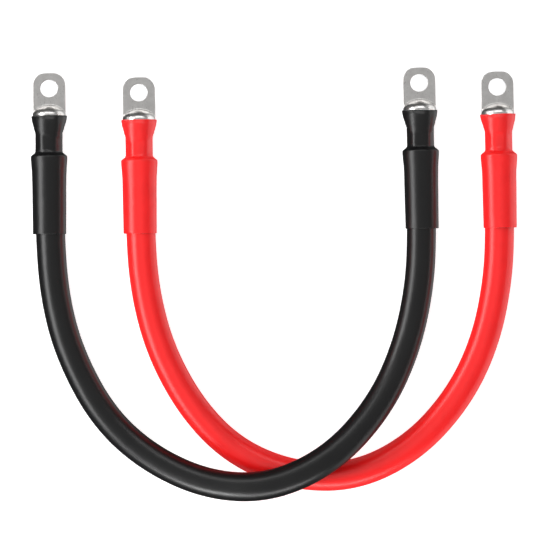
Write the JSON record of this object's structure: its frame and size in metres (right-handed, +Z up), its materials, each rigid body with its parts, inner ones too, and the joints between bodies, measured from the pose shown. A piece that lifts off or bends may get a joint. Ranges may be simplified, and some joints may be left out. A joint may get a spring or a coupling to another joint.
{
  "type": "battery cable pair",
  "caption": "Crossed pair of short heavy battery leads, black and red, with ring lugs and heat-shrink sleeves at both ends.",
  "frame": {"origin": "middle of the pair's box, on the surface that the leads lie on", "axes": "+Z up from the surface; +Y the way the lugs point; +X from the black lead's left end to the red lead's right end"},
  "size_m": [0.2918, 0.26, 0.036],
  "materials": {
    "black_jacket": "satin rubber",
    "red_jacket": "satin rubber",
    "black_sleeve": "semi-gloss heat-shrink",
    "red_sleeve": "semi-gloss heat-shrink",
    "tinned_copper": "satin tin plate on copper",
    "copper": "bare fine-wire copper",
    "glue": "clear dark hot-melt glue",
    "tape": "thin paper separator"
  },
  "bodies": {
    "red_lead": {"red_jacket": "red_jacket", "red_film": "tape", "red_bunch_1": "copper", "red_bunch_2": "copper", "red_bunch_3": "copper", "red_bunch_4": "copper", "red_bunch_5": "copper", "red_bunch_6": "copper", "red_bunch_7": "copper", "red_lug_left": "tinned_copper", "red_sleeve_left": "red_sleeve", "red_glue_left": "glue", "red_lug_right": "tinned_copper", "red_sleeve_right": "red_sleeve", "red_glue_right": "glue"},
    "black_lead": {"black_jacket": "black_jacket", "black_film": "tape", "black_bunch_1": "copper", "black_bunch_2": "copper", "black_bunch_3": "copper", "black_bunch_4": "copper", "black_bunch_5": "copper", "black_bunch_6": "copper", "black_bunch_7": "copper", "black_lug_left": "tinned_copper", "black_sleeve_left": "black_sleeve", "black_glue_left": "glue", "black_lug_right": "tinned_copper", "black_sleeve_right": "black_sleeve", "black_glue_right": "glue"}
  },
  "joints": [
    {"name": "black_lead_lift", "type": "slide", "parent": "red_lead", "child": "black_lead", "axis": [0, 0, 1], "range_m": [0, 0.1]}
  ]
}
